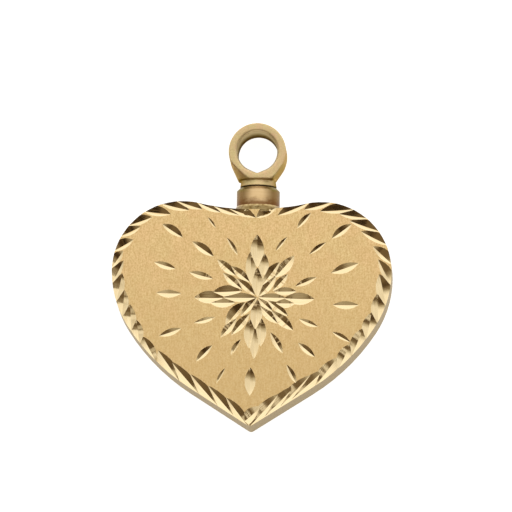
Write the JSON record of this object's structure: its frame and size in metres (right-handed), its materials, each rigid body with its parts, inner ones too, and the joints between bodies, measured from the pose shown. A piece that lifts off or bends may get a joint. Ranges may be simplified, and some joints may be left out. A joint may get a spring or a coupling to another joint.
{
  "type": "keepsake urn pendant",
  "caption": "Hollow gold heart pendant with a diamond-cut starburst and border, closed by a screw-in bail, holding a small ash chamber.",
  "frame": {"origin": "bottom centre of the bounding box, in the plane that the flat back rests on", "axes": "+Z out of the cut face, +Y from the heart's tip towards the bail, +X to the right as seen from the front"},
  "size_m": [0.025, 0.0274, 0.004],
  "materials": {
    "satin_gold": "yellow gold, brushed satin on the face with bright cuts, matte on the band and back",
    "blasted_gold": "yellow gold, fine sandblast"
  },
  "bodies": {
    "heart": {"heart_case": "satin_gold"},
    "bail": {"screw_bail": "blasted_gold"}
  },
  "joints": [
    {"name": "bail_screw", "type": "slide", "parent": "heart", "child": "bail", "axis": [0, 1, 0], "range_m": [0, 0.005]}
  ]
}
